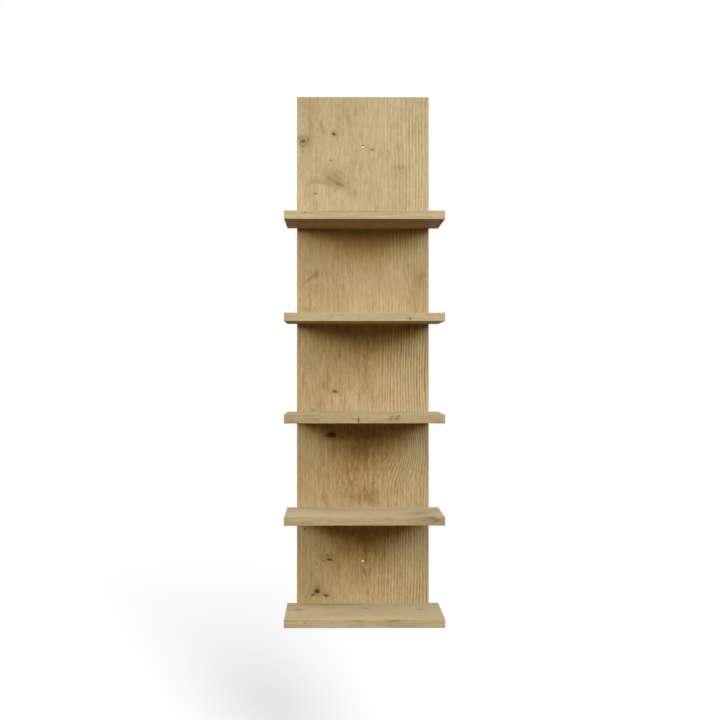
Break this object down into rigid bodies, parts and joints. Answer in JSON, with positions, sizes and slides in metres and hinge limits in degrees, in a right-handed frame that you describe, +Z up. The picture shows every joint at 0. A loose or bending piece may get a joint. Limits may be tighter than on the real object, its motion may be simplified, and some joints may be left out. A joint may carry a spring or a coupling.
{
  "type": "hanging wall shelf",
  "caption": "Tall narrow wall panel of oak-decor board that carries a stack of equal open shelves, each a little wider than the panel, for books and small things.",
  "frame": {"origin": "on the back panel's back face, midway between its two wall holes", "axes": "+X to the right as seen from the front, +Y into the wall, +Z up"},
  "size_m": [0.3, 0.216, 1.022],
  "materials": {
    "panel_decor": "satin",
    "shelf_decor": "satin",
    "edge_band": "satin",
    "zinc_steel": "satin"
  },
  "bodies": {
    "root": {"back_panel": "panel_decor", "back_panel_band_bottom": "edge_band", "back_panel_band_left": "edge_band", "back_panel_band_right": "edge_band", "back_panel_band_top": "edge_band", "shelf_bottom": "shelf_decor", "shelf_lower": "shelf_decor", "shelf_middle": "shelf_decor", "shelf_upper": "shelf_decor", "shelf_top": "shelf_decor", "shelf_bottom_band_back": "edge_band", "shelf_bottom_band_front": "edge_band", "shelf_bottom_band_left": "edge_band", "shelf_bottom_band_right": "edge_band", "shelf_lower_band_back": "edge_band", "shelf_lower_band_front": "edge_band", "shelf_lower_band_left": "edge_band", "shelf_lower_band_right": "edge_band", "shelf_middle_band_back": "edge_band", "shelf_middle_band_front": "edge_band", "shelf_middle_band_left": "edge_band", "shelf_middle_band_right": "edge_band", "shelf_upper_band_back": "edge_band", "shelf_upper_band_front": "edge_band", "shelf_upper_band_left": "edge_band", "shelf_upper_band_right": "edge_band", "shelf_top_band_back": "edge_band", "shelf_top_band_front": "edge_band", "shelf_top_band_left": "edge_band", "shelf_top_band_right": "edge_band", "connector_screws": "zinc_steel"}
  },
  "joints": []
}
